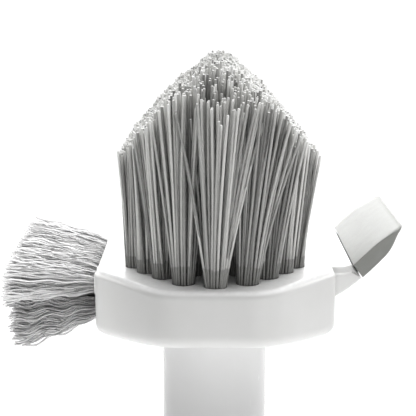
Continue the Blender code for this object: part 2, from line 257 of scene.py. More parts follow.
def filament(name, dark, light, root, root_shade, root_fade, tip_highlight, rough, grain_stretch, soft=0.0):
    """Nylon filament: its tone from a value stored on each filament, painted shade
    towards the root, painted light up the upper part of stiff ones, and a
    painted highlight towards the cut end, which is also rougher."""
    n = Nodes(name)
    shade = n.attribute("shade")
    along = n.attribute("along")
    mottle = n.noise(0.9, 3.0, 0.6)
    tone = n.math("ADD", n.math("MULTIPLY", shade, 0.86), n.math("MULTIPLY", mottle, 0.14))
    colour = n.mix(tone, dark, light)
    # Painted shade towards the root, where the bundle shades itself.
    colour = n.mix(n.ramp(along, 0.0, root_fade, root_shade, 0.0), colour, root)
    if not soft:
        # Painted shade: a darker band low on the stiff filaments.
        colour = n.mix(n.ramp(along, 0.096, 0.108, 0.74, 0.0), colour, root)
        # Painted light: the upper part of stiff filaments lighter, where the light from above reaches them.
        colour = n.scale_colour(colour, n.ramp(along, 0.32, 0.74, 1.0, 1.07))
    # Painted highlight towards the cut end.
    colour = n.scale_colour(colour, n.ramp(along, 0.86, 1.0, 1.0, tip_highlight))
    cap = n.add("ShaderNodeVectorMath", operation="MINIMUM")
    n.link(colour, cap.inputs[0])
    cap.inputs[1].default_value = (0.80, 0.80, 0.79)
    colour = cap.outputs["Vector"]
    lines = n.noise(5.0, 2.0, 0.5, n.stretch(grain_stretch))
    rough_value = n.math("ADD", n.ramp(lines, 0.3, 0.7, rough - 0.05, rough + 0.06),
                         n.ramp(along, 0.7, 1.0, 0.0, 0.10))
    normal = n.bump(lines, 0.3, 0.008 if soft else 0.003)
    if soft:
        # Thin, milky filaments let light through.
        n.shader.inputs["Subsurface Weight"].default_value = soft
        n.shader.inputs["Subsurface Radius"].default_value = (1.0, 1.0, 1.0)
        n.shader.inputs["Subsurface Scale"].default_value = 0.6 * MM
        n.shader.inputs["Specular IOR Level"].default_value = 0.15
    return n.finish(colour, rough_value, normal, 1.53)


def cut_end(name, light, dark):
    """The pale, slightly ragged face that the trimming knife leaves."""
    n = Nodes(name)
    rag = n.noise(9.0, 3.0, 0.6)
    colour = n.mix(n.ramp(rag, 0.35, 0.65), dark, light)
    rough_value = n.ramp(n.noise(5.0, 2.0, 0.5), 0.3, 0.7, 0.50, 0.68)
    return n.finish(colour, rough_value, n.bump(rag, 0.5, 0.03), 1.53)


def scraper_plastic(name, light, dark):
    """Grey-green blade plastic with flow marks from its root and a worn edge."""
    n = Nodes(name)
    flow = n.noise(0.42, 3.0, 0.55, n.stretch((0.8, 1.0, 0.8)), 0.5)
    fine = n.noise(6.0, 2.0, 0.5)
    colour = n.mix(n.ramp(flow, 0.32, 0.70), dark, light)
    edge = n.ramp(n.axis("X"), 33.2, 34.4)
    nick = n.ramp(n.noise(1.6, 4.0, 0.7), 0.44, 0.60)
    worn = n.math("MULTIPLY", edge, nick)
    colour = n.mix(n.math("MULTIPLY", worn, 0.55), colour, tuple(min(1.0, 1.5 * c) for c in light))
    scratch = n.ramp(n.noise(1.1, 5.0, 0.7, n.stretch((2.2, 0.30, 2.2)), 0.7), 0.60, 0.66)
    rough_value = n.math("ADD", n.ramp(fine, 0.3, 0.7, 0.34, 0.42),
                         n.math("ADD", n.math("MULTIPLY", scratch, 0.05),
                                n.math("MULTIPLY", worn, 0.15)))
    normal = n.bump(fine, 0.20, 0.012)
    normal = n.bump(scratch, 0.10, 0.008, normal)
    return n.finish(colour, rough_value, normal, 1.49)


# The head's last tuple is painted light: a whiter top face and arm, and sides lighter towards the bottom.
HEAD_MAT = moulded_plastic("head_plastic_finish", (0.675, 0.675, 0.668), (0.655, 0.655, 0.646),
                           0.36, (TOP_Z - 1.3, TOP_Z - 0.1),
                           (TOP_Z - 0.85, TOP_Z - 0.30, (0.88, 0.88, 0.875)))
TUBE_MAT = drawn_plastic("handle_plastic_finish", (0.775, 0.776, 0.776), (0.755, 0.756, 0.756), 0.16)
CAP_MAT = moulded_plastic("cap_plastic_finish", (0.795, 0.800, 0.798), (0.772, 0.780, 0.776),
                          0.38, (1.6, -0.4))
# Filament finishes: the third colour and the two numbers after it paint shade towards the roots; the next number
# is the painted tip highlight.
STIFF_MAT = filament("stiff_filament_finish", (0.100, 0.100, 0.096), (0.690, 0.690, 0.670),
                     (0.165, 0.165, 0.157), 0.55, 0.28, 1.85, 0.24, (1.0, 1.0, 0.05))
STIFF_END = cut_end("stiff_filament_cut_end", (0.84, 0.84, 0.83), (0.66, 0.66, 0.65))
SOFT_MAT = filament("crimped_filament_finish", (0.250, 0.248, 0.250), (0.640, 0.636, 0.637),
                    (0.150, 0.148, 0.150), 0.42, 0.34, 1.02, 0.52, (0.08, 1.0, 1.0), 1.0)
SOFT_END = cut_end("crimped_filament_cut_end", (0.82, 0.815, 0.82), (0.70, 0.695, 0.70))
BLADE_MAT = scraper_plastic("scraper_plastic_finish", (0.250, 0.254, 0.240), (0.228, 0.232, 0.218))


# ---- mesh helpers --------------------------------------------------------------
def place(points, lift=TOP_Z):
    """Head-frame millimetres to metres in the object's frame."""
    pts = np.asarray(points, float).reshape(-1, 3) + (0.0, 0.0, lift)
    return pts * MM


def link(obj):
    bpy.context.scene.collection.objects.link(obj)
    return obj


def from_bmesh(name, bm, mat=None, lift=TOP_Z, angle=35.0):
    bmesh.ops.recalc_face_normals(bm, faces=bm.faces[:])
    for v in bm.verts:
        v.co = (v.co + Vector((0.0, 0.0, lift))) * MM
    mesh = bpy.data.meshes.new(name)
    bm.to_mesh(mesh)
    bm.free()
    mesh.shade_smooth()
    mesh.set_sharp_from_angle(angle=math.radians(angle))
    obj = link(bpy.data.objects.new(name, mesh))
    if mat is not None:
        mesh.materials.append(mat)
    return obj


def cut(target, other, operation):
    """Apply one Boolean for good and drop the other object."""
    mod = target.modifiers.new("cut", "BOOLEAN")
    mod.operation, mod.solver, mod.object = operation, "EXACT", other
    bake(target)
    bpy.data.objects.remove(other, do_unlink=True)


def bake(obj):
    """Replace the object's mesh by what its modifiers give."""
    bpy.context.view_layer.update()
    graph = bpy.context.evaluated_depsgraph_get()
    made = bpy.data.meshes.new_from_object(obj.evaluated_get(graph), depsgraph=graph)
    old = obj.data
    obj.modifiers.clear()
    obj.data = made
    bpy.data.meshes.remove(old)


def tidy(obj, mat, angle=33.0):
    """One material, merged doubles, and normals that keep flat faces flat."""
    mesh = obj.data
    bm = bmesh.new()
    bm.from_mesh(mesh)
    bmesh.ops.remove_doubles(bm, verts=bm.verts[:], dist=2e-6)
    bmesh.ops.dissolve_degenerate(bm, edges=bm.edges[:], dist=1e-6)
    bm.to_mesh(mesh)
    bm.free()
    mesh.materials.clear()
    mesh.materials.append(mat)
    for poly in mesh.polygons:
        poly.material_index = 0
    mesh.shade_smooth()
    mesh.set_sharp_from_angle(angle=math.radians(angle))
    mod = obj.modifiers.new("normals", "WEIGHTED_NORMAL")
    mod.keep_sharp = True
    mod.weight = 60
    bake(obj)


def loft(bm, rings, close=True):
    loops = [[bm.verts.new(p) for p in ring] for ring in rings]
    count = len(loops[0])
    for low, high in zip(loops, loops[1:]):
        for i in range(count):
            j = (i + 1) % count
            bm.faces.new((low[i], low[j], high[j], high[i]))
    if close:
        bm.faces.new(list(reversed(loops[0])))
        bm.faces.new(loops[-1])
    return loops


def circle(radius, count, z=0.0, centre=(0.0, 0.0), phase=0.0):
    return [(centre[0] + radius * math.cos(phase + 2 * math.pi * i / count),
             centre[1] + radius * math.sin(phase + 2 * math.pi * i / count), z)
            for i in range(count)]


def turned(bm, profile, count, matrix=Matrix.Identity(4), close=True):
    rings = [[tuple(matrix @ Vector(p)) for p in circle(r, count, z)] for r, z in profile]
    return loft(bm, rings, close)


def arc(cx, cz, radius, start, end, steps):
    """Points of an arc in a profile plane, angles in degrees."""
    out = []
    for i in range(steps + 1):
        a = math.radians(start + (end - start) * i / steps)
        out.append((cx + radius * math.cos(a), cz + radius * math.sin(a)))
    return out


def spline(points, per):
    """Catmull-Rom through the points, per samples a span, ends kept."""
    pts = [Vector(p) for p in points]
    pts = [2 * pts[0] - pts[1]] + pts + [2 * pts[-1] - pts[-2]]
    out = []
    for i in range(1, len(pts) - 2):
        p0, p1, p2, p3 = pts[i - 1:i + 3]
        for k in range(per):
            t = k / per
            out.append(0.5 * ((2 * p1) + (p2 - p0) * t + (2 * p0 - 5 * p1 + 4 * p2 - p3) * t ** 2
                              + (3 * p1 - p0 - 3 * p2 + p3) * t ** 3))
    out.append(pts[-2])
    return [tuple(p) for p in out]


def piece(obj, node):
    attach(obj, "root")
    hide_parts(node)
    return obj


# ---- head block -----------------------------------------------------------------
def belly(y):
    return -MID_THICK + (MID_THICK - END_THICK) * abs(y / HALF_LENGTH) ** 3


def right_half(inset, steps=8, spacing=2.6):
    """Right half of the rounded octagon, front to back, moved in by inset."""
    corners = [(END_HALF, -HALF_LENGTH), (HALF_WIDTH, -HALF_FLAT),
               (HALF_WIDTH, HALF_FLAT), (END_HALF, HALF_LENGTH)]
    before = [(-END_HALF, -HALF_LENGTH)] + corners[:-1]
    after = corners[1:] + [(-END_HALF, HALF_LENGTH)]
    arcs = []
    radii = (END_CORNER_R, CORNER_R, CORNER_R, END_CORNER_R)
    for prev, here, nxt, radius in zip(before, corners, after, radii):
        a = (Vector(here) - Vector(prev)).normalized()
        b = (Vector(nxt) - Vector(here)).normalized()
        turn = math.acos(max(-1.0, min(1.0, a.dot(b))))
        back = radius * math.tan(turn / 2)
        inward = Vector((-a.y, a.x))
        centre = Vector(here) - a * back + inward * radius
        start = math.atan2(-inward.y, -inward.x)
        arcs.append([(centre.x + (radius - inset) * math.cos(start + turn * i / steps),
                      centre.y + (radius - inset) * math.sin(start + turn * i / steps))
                     for i in range(steps + 1)])
    points = []
    for k, here in enumerate(arcs):
        points += here
        if k + 1 < len(arcs):
            a, b = Vector(here[-1]), Vector(arcs[k + 1][0])
            pieces = max(1, round((b - a).length / spacing))
            points += [tuple(a.lerp(b, i / pieces)) for i in range(1, pieces)]
    return points


# (inset, height) from the flat top down to the vertical side: a rounded edge,
# a steep band, a narrow shoulder that faces up, and a rounded outer edge.
RIM = [(1.36, 0.0), (1.22, -0.02), (1.12, -0.07), (1.04, -0.16), (0.98, -0.28),
       (0.84, -0.60), (0.79, -0.69), (0.70, -0.755), (0.58, -0.785), (0.40, -0.80),
       (0.24, -0.84), (0.11, -0.92), (0.03, -1.04), (0.0, -1.20)]


def octagon(inset, height):
    half = right_half(inset)
    level = height if callable(height) else (lambda y: height)
    return [(x, y, level(y)) for x, y in half + [(-x, y) for x, y in reversed(half)]]


def rim_ring(index):
    """One ring of the rim: stepped along the sides, a plain round at the ends."""
    inset, height = RIM[index]
    a = math.radians(90.0 * index / (len(RIM) - 1))
    plain_inset, plain_height = RIM[0][0] * (1 - math.sin(a)), -1.45 * (1 - math.cos(a))
    ring = []
    for edge, step, plain in zip(octagon(0.0, 0.0), octagon(inset, height),
                                 octagon(plain_inset, plain_height)):
        s = min(1.0, max(0.0, (abs(edge[1]) - 29.5) / 4.5))
        blend = 0.40 + 0.60 * s * s * (3 - 2 * s)
        ring.append(tuple(p + (q - p) * blend for p, q in zip(step, plain)))
    return ring


def head_body():
    bm = bmesh.new()
    rings = []
    for i in range(8):
        a = math.radians(90.0 * i / 7)
        inset = BELLY_FILLET * (1 - math.sin(a))
        rise = BELLY_FILLET * (1 - math.cos(a))
        rings.append(octagon(inset, lambda y, r=rise: belly(y) + r))
    for level in (0.34, 0.67):
        rings.append(octagon(0.0, lambda y, s=level: (belly(y) + BELLY_FILLET) * (1 - s) - 1.45 * s))
    for index in reversed(range(len(RIM))):
        rings.append(rim_ring(index))
    loops = loft(bm, rings, close=False)
    bm.faces.new(loops[-1])
    under = loops[0]
    half = len(under) // 2
    for i in range(half - 1):
        j = len(under) - 1 - i
        bm.faces.new((under[i], under[i + 1], under[j - 1], under[j]))
    return from_bmesh("head_body", bm)


ARM_TOP = [(19.0, -1.02), (21.4, -1.02), (22.9, -1.01), (24.1, -0.92), (25.25, -0.60)]
ARM_UNDER = [(27.0, -3.0), (25.7, -4.12), (24.0, -5.42), (22.0, -6.65), (19.0, -8.15)]
# how far the arm's ends step back towards their top edge: (from the end, drop)
ARM_RIM = [(0.0, 1.95), (0.03, 1.62), (0.11, 1.40), (0.24, 1.27), (0.42, 1.20), (0.58, 1.17),
           (0.68, 1.10), (0.74, 0.98), (0.86, 0.30), (0.94, 0.14), (1.06, 0.04), (1.20, 0.0)]


def holder_arm():
    top = spline(ARM_TOP, 5)
    under = spline(ARM_UNDER, 4)
    bm = bmesh.new()
    rings = []

    def section(y, drop, tuck):
        ring = []
        for x, z in top:
            room = 0.92 * (z - np.interp(x, [19.0, 22.0, 24.0, 25.7, 27.0],
                                         [-8.15, -6.65, -5.42, -4.12, -3.0]))
            ring.append((x, y, z - min(drop, room)))
        for x, z in under:
            ring.append((x - tuck * 0.4, y, z + tuck))
        return ring

    stations = [(-BLADE_HALF + s, drop, max(0.0, 0.35 - s) ** 2 * 2.2) for s, drop in ARM_RIM]
    stations += [(-BLADE_HALF + 4.0, 0.0, 0.0), (0.0, 0.0, 0.0)]
    for y, drop, tuck in stations:
        rings.append(section(y, drop, tuck))
    for y, drop, tuck in reversed(stations[:-1]):
        rings.append(section(-y, drop, tuck))
    loft(bm, rings)
    return from_bmesh("arm", bm)


def root_frame():
    """Centre and outward direction of the arm's end face in XZ."""
    a, b = Vector((25.25, -0.62)), Vector(ARM_UNDER[0])
    mid = (a + b) / 2
    along = (b - a).normalized()
    out = Vector((-along.y, along.x))
    if out.x < 0:
        out = -out
    return mid, along, out


def slot_block(half, deep, proud, reach, name):
    mid, along, out = root_frame()
    bm = bmesh.new()
    corners = []
    for s, t in ((-half, -deep), (half, -deep), (half, proud), (-half, proud)):
        p = mid + along * s + out * t
        corners.append((p.x, p.y))
    loft(bm, [[(x, y, z) for x, z in corners] for y in (-reach, reach)])
    return from_bmesh(name, bm)


def tuft_columns():
    """Hole centres of the seven lengthwise columns of the top."""
    pitch = 36.0 / 7.0
    centre = [(0.0, k * pitch) for k in range(-3, 4)]
    for y in (20.9, 26.3, 31.7):
        centre += [(0.0, y), (0.0, -y)]
    inner = [(4.8, (k + 0.5) * pitch) for k in range(-3, 3)]
    for x, y in ((4.0, 17.9), (4.3, 23.7), (5.5, 29.8)):
        inner += [(x, y), (x, -y)]
    middle = [(9.6, k * pitch) for k in range(-3, 4)]
    for x, y in ((7.7, 20.5), (9.1, 25.7)):
        middle += [(x, y), (x, -y)]
    outer = [(14.3, (k + 0.5) * pitch) for k in range(-4, 4)]
    outer += [(12.0, 21.9), (12.0, -21.9)]
    columns = {"ridge_tufts": centre}
    for name, pts in (("inner", inner), ("middle", middle), ("outer", outer)):
        columns["right_" + name + "_tufts"] = pts
        columns["left_" + name + "_tufts"] = [(-x, y) for x, y in pts]
    return {k: sorted(v, key=lambda p: p[1]) for k, v in columns.items()}


def side_rows():
    step = 2 * SIDE_SPAN / (SIDE_COUNT - 1)
    upper = [(-SIDE_SPAN + i * step, SIDE_UPPER_Z) for i in range(SIDE_COUNT)]
    lower = [(-SIDE_SPAN + (i + 0.5) * step, SIDE_LOWER_Z) for i in range(SIDE_COUNT - 1)]
    return {"side_upper_tufts_front": upper[:4], "side_upper_tufts_rear": upper[4:],
            "side_lower_tufts_front": lower[:4], "side_lower_tufts_rear": lower[4:]}


def head_block():
    head = head_body()
    cut(head, holder_arm(), "UNION")
    bm = bmesh.new()
    turned(bm, [(HANDLE_R - 0.3, -LAND_DEPTH)] + arc(HANDLE_R - 0.3, -LAND_DEPTH + 0.3, 0.3, -60, 0, 4)
           + [(HANDLE_R, -9.6)], 96)
    cut(head, from_bmesh("seat", bm), "UNION")
    end = -LAND_DEPTH - SPIGOT_LENGTH
    bm = bmesh.new()
    turned(bm, [(BORE_R - GAP - 1.0, end), (BORE_R - GAP - 0.25, end + 0.75),
                (BORE_R - GAP, end + 1.5), (BORE_R - GAP, -10.6)], 72)
    cut(head, from_bmesh("spigot", bm), "UNION")
    bm = bmesh.new()
    turned(bm, [(SPIGOT_BORE_R, end - 2.0), (SPIGOT_BORE_R, -16.6), (SPIGOT_BORE_R - 0.5, -15.7),
                (SPIGOT_BORE_R - 1.8, -15.1)], 48)
    cut(head, from_bmesh("core", bm), "DIFFERENCE")
    cut(head, slot_block(0.65 + GAP, 3.2 + GAP, 1.2, 13.6 + GAP, "slot"), "DIFFERENCE")
    bm = bmesh.new()
    for pts in tuft_columns().values():
        for x, y in pts:
            turned(bm, [(HOLE_R, -HOLE_DEPTH), (HOLE_R, -0.10), (HOLE_R + 0.02, -0.03),
                        (HOLE_R + 0.04, 0.0), (HOLE_R + 0.06, 0.6)], 32,
                   Matrix.Translation((x, y, 0.0)))
    cut(head, from_bmesh("top_holes", bm), "DIFFERENCE")
    bm = bmesh.new()
    for pts in side_rows().values():
        for y, z in pts:
            turn = Matrix.Translation((-HALF_WIDTH, y, z)) @ Matrix.Rotation(-math.pi / 2, 4, "Y")
            turned(bm, [(SIDE_HOLE_R, -SIDE_HOLE_DEPTH), (SIDE_HOLE_R, -0.2), (SIDE_HOLE_R + 0.06, -0.08),
                        (SIDE_HOLE_R + 0.18, 0.0), (SIDE_HOLE_R + 0.25, 0.5)], 24, turn)
    cut(head, from_bmesh("side_holes", bm), "DIFFERENCE")
    head.name = "brush_head"
    tidy(head, HEAD_MAT)
    return piece(head, "head_block")


# ---- handle ---------------------------------------------------------------------
def handle_tube():
    low, high = CAP_LENGTH + GAP, TOP_Z - LAND_DEPTH - GAP
    outer = arc(HANDLE_R - 0.4, low + 0.4, 0.4, -90, 0, 5)
    levels = np.linspace(low + 8.0, high - 8.0, 12)
    outer += [(HANDLE_R, float(z)) for z in levels]
    outer += arc(HANDLE_R - 0.4, high - 0.4, 0.4, 0, 90, 5)
    inner = arc(BORE_R + 0.2, high - 0.2, 0.2, 90, 180, 3)
    inner += [(BORE_R, float(z)) for z in reversed(levels)]
    inner += arc(BORE_R + 0.2, low + 0.2, 0.2, 180, 270, 3)
    profile = outer + inner
    bm = bmesh.new()
    count = 128
    loops = [[bm.verts.new(p) for p in circle(r, count, z)] for r, z in profile]
    for k in range(len(loops)):
        a, b = loops[k], loops[(k + 1) % len(loops)]
        for i in range(count):
            j = (i + 1) % count
            bm.faces.new((a[i], a[j], b[j], b[i]))
    tube = from_bmesh("brush_handle", bm, None, 0.0)
    tidy(tube, TUBE_MAT)
    return piece(tube, "handle_tube")


def end_cap():
    bm = bmesh.new()
    profile = [(HANDLE_R - 1.5, 0.0)] + arc(HANDLE_R - 1.4, 1.4, 1.4, -86, 0, 8)
    profile += [(HANDLE_R, 6.0), (HANDLE_R, 12.0), (HANDLE_R, 18.0)]
    profile += arc(HANDLE_R - 0.35, CAP_LENGTH - 0.35, 0.35, 0, 90, 4)
    turned(bm, profile, 96)
    cap = from_bmesh("handle_cap", bm, None, 0.0)
    bm = bmesh.new()
    r, top = BORE_R - GAP, CAP_LENGTH + CAP_SPIGOT
    turned(bm, [(r, CAP_LENGTH - 1.0), (r, top - 1.2), (r - 0.2, top - 0.6), (r - 0.8, top)], 72)
    cut(cap, from_bmesh("cap_spigot", bm, None, 0.0), "UNION")
    bm = bmesh.new()
    turned(bm, [(SPIGOT_BORE_R - 1.4, CAP_LENGTH + 0.4), (SPIGOT_BORE_R - 0.3, CAP_LENGTH + 0.8),
                (SPIGOT_BORE_R, CAP_LENGTH + 1.6), (SPIGOT_BORE_R, top + 1.0)], 48)
    cut(cap, from_bmesh("cap_core", bm, None, 0.0), "DIFFERENCE")
    # A cross hole to hang the brush by, its mouths flared to a soft edge.
    cross = Matrix.Translation((0.0, 0.0, HANG_Z)) @ Matrix.Rotation(math.pi / 2, 4, "X")
    flare = [(HANG_R + 3.2 * t ** 2.6, 7.4 + 4.2 * t) for t in np.linspace(0.0, 1.0, 9)]
    profile = [(r, -z) for r, z in reversed(flare)] + [(float(r), float(z)) for r, z in flare]
    bm = bmesh.new()
    turned(bm, profile, 64, cross)
    cut(cap, from_bmesh("hang_hole", bm, None, 0.0), "DIFFERENCE")
    tidy(cap, CAP_MAT, 40.0)
    return piece(cap, "handle_end_cap")


# ---- scraper --------------------------------------------------------------------
def blade_section(pull, inset):
    """XZ section of the blade; pull shortens it from the tip, inset thins it."""
    mid, along, out = root_frame()
    a = Vector((25.25, -0.62)) + out * GAP
    b = Vector(ARM_UNDER[0]) + out * GAP
    inner = spline([tuple(a), (27.5, 1.48), (29.8, 3.66), (32.4, 5.68), (33.86, 6.58)], 5)
    tip = [(34.00, 6.75), (34.14, 6.83), (34.27, 6.80), (34.34, 6.66)]
    outer = spline([(34.30, 6.48), (33.6, 5.15), (32.65, 3.12), (31.35, 1.28), (29.0, -1.17),
                    tuple(b)], 5)
    pts = [Vector(p) for p in inner + tip + outer]
    axis = (Vector(tip[1]) - mid).normalized()
    length = max((p - mid).dot(axis) for p in pts)
    zone = 6.0
    centre = sum(pts, Vector((0.0, 0.0))) / len(pts)
    moved = []
    for p in pts:
        s = (p - mid).dot(axis)
        if s > length - zone:
            p = p - axis * (pull * (s - (length - zone)) / zone)
        p = p + (centre - p).normalized() * inset
        moved.append((p.x, p.y))
    return moved


def scraper():
    bm = bmesh.new()
    rings = []

    def corner(radius):
        """Stations of a rounded corner, from the blade's end inwards."""
        out = []
        for share in (0.0, 0.03, 0.09, 0.19, 0.33, 0.50, 0.68, 0.85, 1.0):
            d = share * radius
            pull = radius - math.sqrt(max(0.0, radius ** 2 - (radius - d) ** 2))
            out.append((d, pull, 0.16 * max(0.0, 1.0 - d / 0.16) ** 2))
        return out

    stations = [(-BLADE_HALF + d, p, i) for d, p, i in corner(1.5)]
    stations += [(y, 0.0, 0.0) for y in np.linspace(-BLADE_HALF + 4.0, BLADE_HALF - 5.5, 6)]
    stations += [(BLADE_HALF - d, p, i) for d, p, i in reversed(corner(3.4))]
    for y, pull, inset in stations:
        rings.append([(x, float(y), z) for x, z in blade_section(pull, inset)])
    loft(bm, rings)
    blade = from_bmesh("scraper", bm)
    cut(blade, slot_block(0.65, 3.2, GAP + 0.6, 13.6, "tongue"), "UNION")
    tidy(blade, BLADE_MAT, 30.0)
    return piece(blade, "scraper_blade")


# ---- filaments -------------------------------------------------------------------
def strands(name, path, radius, sides, shade, along, axis, spin, mats, dome):
    """Skin n filaments into one mesh.  path is (n, k, 3), radius (n, k); the
    last dome spans of each get the second material."""
    n, k, _ = path.shape
    tangent = np.gradient(path, axis=1)
    tangent /= np.linalg.norm(tangent, axis=2, keepdims=True)
    ref = np.asarray(axis, float)
    side = ref - (tangent @ ref)[..., None] * tangent
    side /= np.linalg.norm(side, axis=2, keepdims=True)
    other = np.cross(tangent, side)
    ang = spin[:, None, None] + 2 * np.pi * np.arange(sides)[None, None, :] / sides
    ang = np.broadcast_to(ang, (n, k, sides))
    verts = (path[:, :, None, :] + radius[:, :, None, None]
             * (np.cos(ang)[..., None] * side[:, :, None, :]
                + np.sin(ang)[..., None] * other[:, :, None, :]))
    verts = place(verts.reshape(-1, 3))
    index = np.arange(n * k * sides).reshape(n, k, sides)
    turn = np.roll(index, -1, axis=2)
    quads = np.stack([index[:, :-1], turn[:, :-1], turn[:, 1:], index[:, 1:]], axis=-1).reshape(-1, 4)
    tips = index[:, -1, :]
    roots = index[:, 0, ::-1]
    loops = np.concatenate([quads.ravel(), tips.ravel(), roots.ravel()])
    starts = np.concatenate([4 * np.arange(len(quads)),
                             4 * len(quads) + sides * np.arange(2 * n)])
    mesh = bpy.data.meshes.new(name)
    mesh.vertices.add(len(verts))
    mesh.vertices.foreach_set("co", verts.astype(np.float32).ravel())
    mesh.loops.add(len(loops))
    mesh.loops.foreach_set("vertex_index", loops.astype(np.int32))
    mesh.polygons.add(len(starts))
    mesh.polygons.foreach_set("loop_start", starts.astype(np.int32))
    smooth = np.ones(len(starts), bool)
    smooth[len(quads):] = False
    mesh.update(calc_edges=True)
    mesh.polygons.foreach_set("use_smooth", smooth)
    last = np.zeros((n, k - 1, sides), np.int32)
    last[:, -dome:] = 1
    which = np.concatenate([last.ravel(), np.ones(n, np.int32), np.zeros(n, np.int32)])
    for mat in mats:
        mesh.materials.append(mat)
    mesh.polygons.foreach_set("material_index", which)
    for key, values in (("shade", np.repeat(shade, k * sides)),
                        ("along", np.repeat(along.ravel(), sides))):
        layer = mesh.attributes.new(key, "FLOAT", "POINT")
        layer.data.foreach_set("value", values.astype(np.float32))
    mesh.update()
    mesh.validate()
    return link(bpy.data.objects.new(name, mesh))


def trim(x, y):
    """Height of the cut filament ends above the head at (x, y)."""
    h = RIDGE_H - TRIM_SLOPE * (np.sqrt(x * x + TRIM_ROUND ** 2) - TRIM_ROUND)
    end = np.maximum(0.0, (np.abs(y) - 22.0) / 11.0) ** 1.4
    return h - END_DROP * end * np.maximum(0.0, 1.0 - np.abs(x) / 8.0)


def packed(radius, pitch, rng):
    """Offsets of filaments packed in a round hole."""
    rows = int(radius / pitch) + 3
    spots = []
    for j in range(-rows, rows + 1):
        for i in range(-rows, rows + 1):
            spots.append(((i + 0.5 * (j % 2)) * pitch, j * pitch * math.sqrt(3) / 2))
    spots = np.array(spots) + rng.uniform(-0.5, 0.5, 2) * pitch
    a = rng.uniform(0, math.pi / 3)
    spots = spots @ np.array([[math.cos(a), -math.sin(a)], [math.sin(a), math.cos(a)]])
    spots += rng.normal(0.0, 0.035, spots.shape)
    return spots[np.hypot(spots[:, 0], spots[:, 1]) <= radius]


def bundled(radius, pitch, rng):
    """Offsets of filaments pressed into a round hole: rings against its wall."""
    spots = []
    r = radius
    while r > 0.0:
        count = max(1, int(2 * math.pi * r / pitch))
        first = rng.uniform(0.0, 2 * math.pi)
        for i in range(count):
            a = first + 2 * math.pi * i / count + rng.normal(0.0, 0.035)
            q = r - abs(rng.normal(0.0, 0.035))
            spots.append((q * math.cos(a), q * math.sin(a)))
        r -= 0.94 * pitch
    return np.array(spots)


LEAN = 1.15                  # the whole bunch leans to the right by this at full height
LEVELS = np.array([0.0, 0.10, 0.24, 0.40, 0.57, 0.74, 0.88, 1.0])
# Tufts whose ends were pushed aside in use: (x, y) of the hole, then how far the
# ends are moved in x, y and height.
PUSHED = {(0.0, -31.7): (0.1, -0.2, -0.5), (0.0, -26.3): (-0.9, 0.0, 1.3),
          (0.0, -20.9): (-0.5, 0.0, 0.4), (5.5, -29.8): (1.0, -0.1, -0.4),
          (4.3, -23.7): (0.9, 0.0, -0.7), (-5.5, -29.8): (-0.3, -0.1, 1.5),
          (-4.3, -23.7): (-0.2, 0.0, 1.6), (-9.1, -25.7): (-0.1, -0.1, 1.1),
          (-7.7, -20.5): (0.0, 0.0, 0.8), (9.1, -25.7): (0.1, 0.0, 0.4)}


def stiff_tuft(x, y, rng):
    """Root, tip, bow of every filament of one tuft of the top."""
    uv = bundled(1.73, 0.50, rng)
    n = len(uv)
    h0 = float(trim(x, y))
    cx, cy = x * (1 + SPREAD_X * h0), y * (1 + SPREAD_Y * h0)
    front = y < -20.0 or (y < -17.0 and abs(x) > 11.0)
    fan = 1.0 + 0.031 * h0 + rng.normal(0.0, 0.06)
    fan_x = fan + (0.55 if abs(y) > 31.0 else 0.25 if front else 0.0)
    if abs(x) > 11.0:
        fan_x = 1.0 + 0.012 * h0
    tip = np.empty((n, 2))
    tip[:, 0] = cx + uv[:, 0] * fan_x
    tip[:, 1] = cy + uv[:, 1] * fan
    if front:
        out = (uv[:, 0] / 1.72) ** 3 * rng.uniform(0.2, 1.3, n)
        tip[:, 0] += out * (2.9 if abs(y) > 31.0 else 1.6 if abs(x) < 11.0 else 0.0)
    tip += rng.normal(0.0, 0.013, (n, 2)) * h0 + rng.normal(0.0, 0.10, 2)
    wild = rng.random(n) < (0.15 if front else 0.04)
    tip[wild] += rng.normal(0.0, 0.048, (int(wild.sum()), 2)) * h0
    if abs(x) > 11.0:
        edge = 17.0 if abs(y) > 20.5 else 17.5
        over = np.maximum(0.0, np.abs(tip[:, 0]) - edge)
        tip[:, 0] -= np.sign(tip[:, 0]) * 0.7 * over
        if x < 0.0:
            tip[:, 0] += 0.35
    h = trim(tip[:, 0], tip[:, 1]) - 0.12 + rng.normal(0.0, 0.24, n)
    if y > 5.0 and abs(x) > 3.0:
        h -= 0.4
    if front:
        h += rng.normal(0.0, 0.25) + rng.normal(0.0, 0.25, n)
    low = rng.random(n) < (0.14 if front else 0.08)
    h[low] -= rng.uniform(0.3, 2.6 if front else 1.3, int(low.sum()))
    tip[:, 0] += LEAN * (h / 35.0) ** 1.5
    move = PUSHED.get((x, y), (0.0, 0.0, 0.0))
    tip += move[:2]
    h += move[2]
    bow = rng.normal(0.0, 0.0045, (n, 2)) * h[:, None]
    return uv + (x, y), tip, h, bow


# Loose filaments seen in front of the rest: root x, y, tip x, y, height, and a
# sideways kick of the last stretch.
STRAYS = {
    "ridge_tufts_front": [(1.45, -33.15, 8.6, -33.6, 31.9, 0.9), (1.25, -33.25, 6.6, -33.9, 32.2, 0.1),
                          (-1.50, -33.00, -6.9, -33.4, 31.6, 0.0), (1.55, -32.70, 3.4, -34.0, 30.0, 0.0),
                          (0.95, -33.35, 4.7, -34.2, 29.8, -0.2)],
    "right_outer_tufts_front": [(15.70, -19.10, 18.1, -20.6, 21.4, 0.0), (15.60, -18.60, 17.2, -19.9, 22.2, 0.0)],
    "left_outer_tufts_front": [(-15.60, -19.00, -17.1, -20.2, 21.3, 0.0)],
    "left_middle_tufts_front": [(-10.2, -26.9, -13.0, -28.6, 26.6, 0.0)],
}


